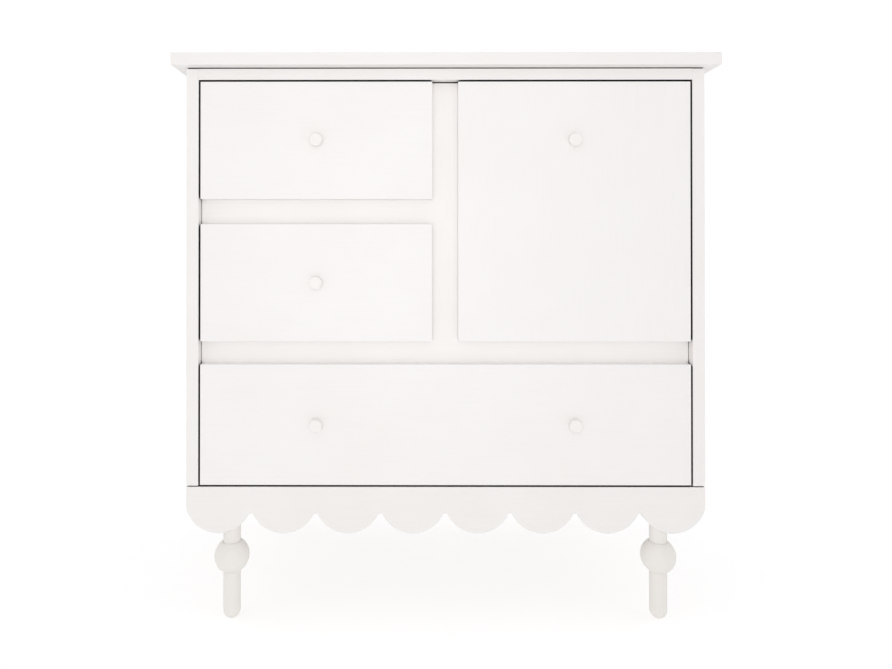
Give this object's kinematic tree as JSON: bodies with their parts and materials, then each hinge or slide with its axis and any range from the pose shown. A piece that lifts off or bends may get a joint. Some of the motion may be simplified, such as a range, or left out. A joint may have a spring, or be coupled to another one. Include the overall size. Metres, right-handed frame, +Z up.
{
  "type": "miniature chest of drawers",
  "caption": "Dolls' house chest of drawers with overlay fronts in a recessed face frame, an overhanging top, a scalloped apron, and dowel legs with beads.",
  "frame": {"origin": "on the surface that the feet stand on, below the middle of the whole chest's outline", "axes": "+Z up; the drawer fronts face -Y; +X is to the right when the fronts are faced"},
  "size_m": [0.1256, 0.0628, 0.1309],
  "materials": {
    "case_paint": "satin",
    "frame_paint": "satin",
    "front_paint": "satin",
    "apron_paint": "satin",
    "leg_paint": "satin",
    "knob_paint": "satin",
    "bare_birch": "matt",
    "birch_ply": "matt"
  },
  "bodies": {
    "case": {"top_board": "case_paint", "case_top": "case_paint", "left_panel": "case_paint", "right_panel": "case_paint", "bottom_panel": "case_paint", "back_panel": "case_paint", "centre_stile": "frame_paint", "left_rail": "frame_paint", "cross_rail": "frame_paint", "centre_partition": "frame_paint", "upper_shelf": "frame_paint", "cross_shelf": "frame_paint", "upper_guide": "bare_birch", "lower_guide": "bare_birch", "right_guide": "bare_birch", "upper_kicker": "bare_birch", "lower_kicker": "bare_birch", "front_apron": "apron_paint", "left_apron": "apron_paint", "right_apron": "apron_paint", "back_rail": "apron_paint", "front_left_leg": "leg_paint", "front_right_leg": "leg_paint", "back_left_leg": "leg_paint", "back_right_leg": "leg_paint", "front_left_bead": "leg_paint", "front_right_bead": "leg_paint", "back_left_bead": "leg_paint", "back_right_bead": "leg_paint"},
    "top_drawer": {"top_drawer_front": "front_paint", "top_drawer_left_side": "bare_birch", "top_drawer_right_side": "bare_birch", "top_drawer_back": "bare_birch", "top_drawer_bottom": "birch_ply", "top_drawer_knob": "knob_paint"},
    "middle_drawer": {"middle_drawer_front": "front_paint", "middle_drawer_left_side": "bare_birch", "middle_drawer_right_side": "bare_birch", "middle_drawer_back": "bare_birch", "middle_drawer_bottom": "birch_ply", "middle_drawer_knob": "knob_paint"},
    "deep_drawer": {"deep_drawer_front": "front_paint", "deep_drawer_left_side": "bare_birch", "deep_drawer_right_side": "bare_birch", "deep_drawer_back": "bare_birch", "deep_drawer_bottom": "birch_ply", "deep_drawer_knob": "knob_paint"},
    "bottom_drawer": {"bottom_drawer_front": "front_paint", "bottom_drawer_left_side": "bare_birch", "bottom_drawer_right_side": "bare_birch", "bottom_drawer_back": "bare_birch", "bottom_drawer_bottom": "birch_ply", "bottom_drawer_left_knob": "knob_paint", "bottom_drawer_right_knob": "knob_paint"}
  },
  "joints": [
    {"name": "top_drawer_slide", "type": "slide", "parent": "case", "child": "top_drawer", "axis": [0, -1, 0], "range_m": [0, 0.04]},
    {"name": "middle_drawer_slide", "type": "slide", "parent": "case", "child": "middle_drawer", "axis": [0, -1, 0], "range_m": [0, 0.04]},
    {"name": "deep_drawer_slide", "type": "slide", "parent": "case", "child": "deep_drawer", "axis": [0, -1, 0], "range_m": [0, 0.04]},
    {"name": "bottom_drawer_slide", "type": "slide", "parent": "case", "child": "bottom_drawer", "axis": [0, -1, 0], "range_m": [0, 0.04]}
  ]
}
